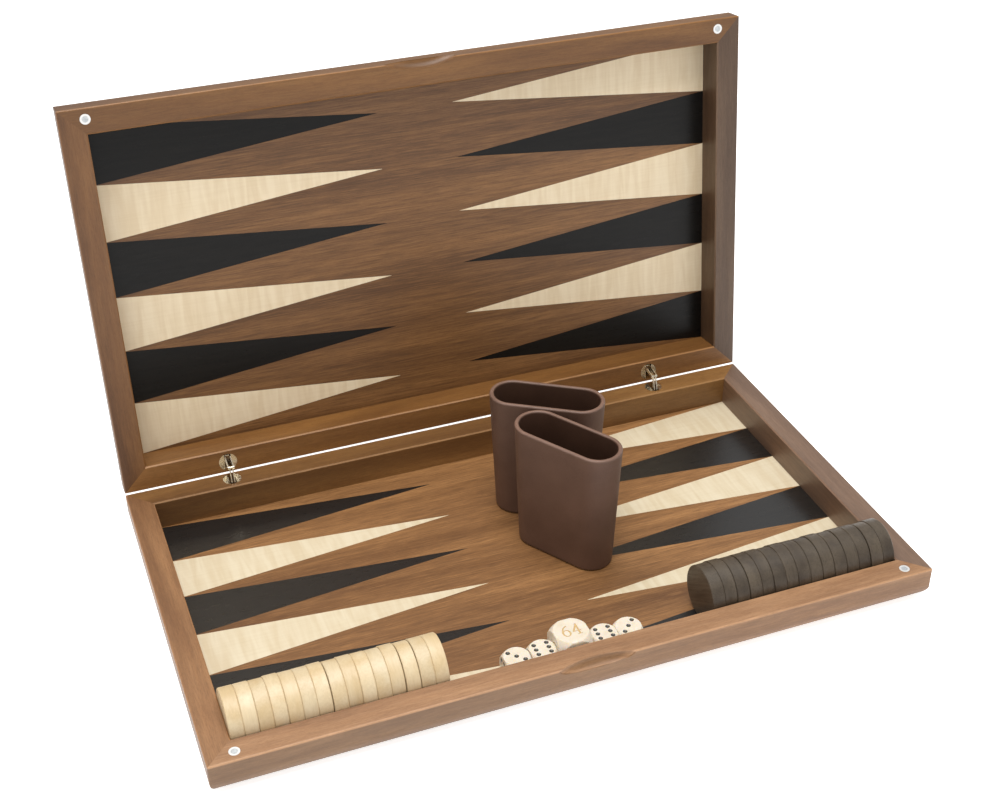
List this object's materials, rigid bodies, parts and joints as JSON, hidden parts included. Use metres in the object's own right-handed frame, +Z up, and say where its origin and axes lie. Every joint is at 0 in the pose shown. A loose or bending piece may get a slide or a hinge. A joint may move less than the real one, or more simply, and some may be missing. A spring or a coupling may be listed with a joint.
{
  "type": "backgammon set",
  "caption": "Folding wooden backgammon case standing open, with checkers on edge, dice, a doubling cube and oval dice cups.",
  "frame": {"origin": "centre of the tray's underside", "axes": "+X to the right along the case, +Y towards the hinges and the lid, +Z up"},
  "size_m": [0.46, 0.3196, 0.2841],
  "materials": {
    "walnut_rail": "satin lacquered walnut",
    "walnut_back": "satin walnut",
    "walnut_veneer": "satin walnut veneer, grain along the length",
    "dark_veneer": "satin black dyed veneer",
    "maple_veneer": "satin figured maple veneer",
    "nickel": "polished nickel",
    "light_wood": "satin maple",
    "dark_wood": "satin dark stained wood",
    "ivory": "polished ivory coloured acrylic",
    "brown_cup": "matt brown"
  },
  "bodies": {
    "tray": {"tray_rail_front": "walnut_rail", "tray_rail_back": "walnut_rail", "tray_rail_left": "walnut_rail", "tray_rail_right": "walnut_rail", "tray_base_board": "walnut_back", "tray_field": "walnut_veneer", "tray_dark_points": "dark_veneer", "tray_light_points": "maple_veneer", "tray_magnets": "nickel", "tray_hinge_barrels": "nickel"},
    "lid": {"lid_rail_front": "walnut_rail", "lid_rail_back": "walnut_rail", "lid_rail_left": "walnut_rail", "lid_rail_right": "walnut_rail", "lid_base_board": "walnut_back", "lid_field": "walnut_veneer", "lid_dark_points": "dark_veneer", "lid_light_points": "maple_veneer", "lid_magnets": "nickel", "lid_hinge_barrels": "nickel"},
    "tray_arms": {"tray_hinge_arms": "nickel", "hinge_middle_pins": "nickel"},
    "lid_arms": {"lid_hinge_arms": "nickel"},
    "light_checker_01_body": {"light_checker_01": "light_wood"},
    "light_checker_02_body": {"light_checker_02": "light_wood"},
    "light_checker_03_body": {"light_checker_03": "light_wood"},
    "light_checker_04_body": {"light_checker_04": "light_wood"},
    "light_checker_05_body": {"light_checker_05": "light_wood"},
    "light_checker_06_body": {"light_checker_06": "light_wood"},
    "light_checker_07_body": {"light_checker_07": "light_wood"},
    "light_checker_08_body": {"light_checker_08": "light_wood"},
    "light_checker_09_body": {"light_checker_09": "light_wood"},
    "light_checker_10_body": {"light_checker_10": "light_wood"},
    "light_checker_11_body": {"light_checker_11": "light_wood"},
    "light_checker_12_body": {"light_checker_12": "light_wood"},
    "light_checker_13_body": {"light_checker_13": "light_wood"},
    "light_checker_14_body": {"light_checker_14": "light_wood"},
    "light_checker_15_body": {"light_checker_15": "light_wood"},
    "dark_checker_01_body": {"dark_checker_01": "dark_wood"},
    "dark_checker_02_body": {"dark_checker_02": "dark_wood"},
    "dark_checker_03_body": {"dark_checker_03": "dark_wood"},
    "dark_checker_04_body": {"dark_checker_04": "dark_wood"},
    "dark_checker_05_body": {"dark_checker_05": "dark_wood"},
    "dark_checker_06_body": {"dark_checker_06": "dark_wood"},
    "dark_checker_07_body": {"dark_checker_07": "dark_wood"},
    "dark_checker_08_body": {"dark_checker_08": "dark_wood"},
    "dark_checker_09_body": {"dark_checker_09": "dark_wood"},
    "dark_checker_10_body": {"dark_checker_10": "dark_wood"},
    "dark_checker_11_body": {"dark_checker_11": "dark_wood"},
    "dark_checker_12_body": {"dark_checker_12": "dark_wood"},
    "dark_checker_13_body": {"dark_checker_13": "dark_wood"},
    "dark_checker_14_body": {"dark_checker_14": "dark_wood"},
    "dark_checker_15_body": {"dark_checker_15": "dark_wood"},
    "die_1_body": {"die_1": "ivory"},
    "die_2_body": {"die_2": "ivory"},
    "die_3_body": {"die_3": "ivory"},
    "die_4_body": {"die_4": "ivory"},
    "doubling_cube_body": {"doubling_cube": "ivory"},
    "cup_front_body": {"cup_front": "brown_cup"},
    "cup_rear_body": {"cup_rear": "brown_cup"}
  },
  "joints": [
    {"name": "lid_hinge", "type": "hinge", "parent": "tray", "child": "lid", "pos_m": [0, 0.1313, 0.02415], "axis": [-1, 0, 0], "range_deg": [-57, 82.4]},
    {"name": "tray_arm_pivot", "type": "hinge", "parent": "tray", "child": "tray_arms", "pos_m": [0, 0.1195, 0.0215], "axis": [-1, 0, 0], "range_deg": [-35, 50]},
    {"name": "lid_arm_pivot", "type": "hinge", "parent": "lid", "child": "lid_arms", "pos_m": [0, 0.13549, 0.0355], "axis": [-1, 0, 0], "range_deg": [-50, 35]},
    {"name": "light_checker_01_lift", "type": "slide", "parent": "tray", "child": "light_checker_01_body", "axis": [0, 0, 1], "range_m": [0, 0.045]},
    {"name": "light_checker_02_lift", "type": "slide", "parent": "tray", "child": "light_checker_02_body", "axis": [0, 0, 1], "range_m": [0, 0.045]},
    {"name": "light_checker_03_lift", "type": "slide", "parent": "tray", "child": "light_checker_03_body", "axis": [0, 0, 1], "range_m": [0, 0.045]},
    {"name": "light_checker_04_lift", "type": "slide", "parent": "tray", "child": "light_checker_04_body", "axis": [0, 0, 1], "range_m": [0, 0.045]},
    {"name": "light_checker_05_lift", "type": "slide", "parent": "tray", "child": "light_checker_05_body", "axis": [0, 0, 1], "range_m": [0, 0.045]},
    {"name": "light_checker_06_lift", "type": "slide", "parent": "tray", "child": "light_checker_06_body", "axis": [0, 0, 1], "range_m": [0, 0.045]},
    {"name": "light_checker_07_lift", "type": "slide", "parent": "tray", "child": "light_checker_07_body", "axis": [0, 0, 1], "range_m": [0, 0.045]},
    {"name": "light_checker_08_lift", "type": "slide", "parent": "tray", "child": "light_checker_08_body", "axis": [0, 0, 1], "range_m": [0, 0.045]},
    {"name": "light_checker_09_lift", "type": "slide", "parent": "tray", "child": "light_checker_09_body", "axis": [0, 0, 1], "range_m": [0, 0.045]},
    {"name": "light_checker_10_lift", "type": "slide", "parent": "tray", "child": "light_checker_10_body", "axis": [0, 0, 1], "range_m": [0, 0.045]},
    {"name": "light_checker_11_lift", "type": "slide", "parent": "tray", "child": "light_checker_11_body", "axis": [0, 0, 1], "range_m": [0, 0.045]},
    {"name": "light_checker_12_lift", "type": "slide", "parent": "tray", "child": "light_checker_12_body", "axis": [0, 0, 1], "range_m": [0, 0.045]},
    {"name": "light_checker_13_lift", "type": "slide", "parent": "tray", "child": "light_checker_13_body", "axis": [0, 0, 1], "range_m": [0, 0.045]},
    {"name": "light_checker_14_lift", "type": "slide", "parent": "tray", "child": "light_checker_14_body", "axis": [0, 0, 1], "range_m": [0, 0.045]},
    {"name": "light_checker_15_lift", "type": "slide", "parent": "tray", "child": "light_checker_15_body", "axis": [0, 0, 1], "range_m": [0, 0.045]},
    {"name": "dark_checker_01_lift", "type": "slide", "parent": "tray", "child": "dark_checker_01_body", "axis": [0, 0, 1], "range_m": [0, 0.045]},
    {"name": "dark_checker_02_lift", "type": "slide", "parent": "tray", "child": "dark_checker_02_body", "axis": [0, 0, 1], "range_m": [0, 0.045]},
    {"name": "dark_checker_03_lift", "type": "slide", "parent": "tray", "child": "dark_checker_03_body", "axis": [0, 0, 1], "range_m": [0, 0.045]},
    {"name": "dark_checker_04_lift", "type": "slide", "parent": "tray", "child": "dark_checker_04_body", "axis": [0, 0, 1], "range_m": [0, 0.045]},
    {"name": "dark_checker_05_lift", "type": "slide", "parent": "tray", "child": "dark_checker_05_body", "axis": [0, 0, 1], "range_m": [0, 0.045]},
    {"name": "dark_checker_06_lift", "type": "slide", "parent": "tray", "child": "dark_checker_06_body", "axis": [0, 0, 1], "range_m": [0, 0.045]},
    {"name": "dark_checker_07_lift", "type": "slide", "parent": "tray", "child": "dark_checker_07_body", "axis": [0, 0, 1], "range_m": [0, 0.045]},
    {"name": "dark_checker_08_lift", "type": "slide", "parent": "tray", "child": "dark_checker_08_body", "axis": [0, 0, 1], "range_m": [0, 0.045]},
    {"name": "dark_checker_09_lift", "type": "slide", "parent": "tray", "child": "dark_checker_09_body", "axis": [0, 0, 1], "range_m": [0, 0.045]},
    {"name": "dark_checker_10_lift", "type": "slide", "parent": "tray", "child": "dark_checker_10_body", "axis": [0, 0, 1], "range_m": [0, 0.045]},
    {"name": "dark_checker_11_lift", "type": "slide", "parent": "tray", "child": "dark_checker_11_body", "axis": [0, 0, 1], "range_m": [0, 0.045]},
    {"name": "dark_checker_12_lift", "type": "slide", "parent": "tray", "child": "dark_checker_12_body", "axis": [0, 0, 1], "range_m": [0, 0.045]},
    {"name": "dark_checker_13_lift", "type": "slide", "parent": "tray", "child": "dark_checker_13_body", "axis": [0, 0, 1], "range_m": [0, 0.045]},
    {"name": "dark_checker_14_lift", "type": "slide", "parent": "tray", "child": "dark_checker_14_body", "axis": [0, 0, 1], "range_m": [0, 0.045]},
    {"name": "dark_checker_15_lift", "type": "slide", "parent": "tray", "child": "dark_checker_15_body", "axis": [0, 0, 1], "range_m": [0, 0.045]},
    {"name": "die_1_lift", "type": "slide", "parent": "tray", "child": "die_1_body", "axis": [0, 0, 1], "range_m": [0, 0.03]},
    {"name": "die_2_lift", "type": "slide", "parent": "tray", "child": "die_2_body", "axis": [0, 0, 1], "range_m": [0, 0.03]},
    {"name": "die_3_lift", "type": "slide", "parent": "tray", "child": "die_3_body", "axis": [0, 0, 1], "range_m": [0, 0.03]},
    {"name": "die_4_lift", "type": "slide", "parent": "tray", "child": "die_4_body", "axis": [0, 0, 1], "range_m": [0, 0.03]},
    {"name": "doubling_cube_lift", "type": "slide", "parent": "tray", "child": "doubling_cube_body", "axis": [0, 0, 1], "range_m": [0, 0.03]},
    {"name": "cup_front_lift", "type": "slide", "parent": "tray", "child": "cup_front_body", "axis": [0, 0, 1], "range_m": [0, 0.12]},
    {"name": "cup_rear_lift", "type": "slide", "parent": "tray", "child": "cup_rear_body", "axis": [0, 0, 1], "range_m": [0, 0.12]}
  ],
  "couplings": [
    {"joint": "tray_arm_pivot", "follows": "lid_hinge", "ratio": 0.6},
    {"joint": "lid_arm_pivot", "follows": "lid_hinge", "ratio": -0.6}
  ]
}
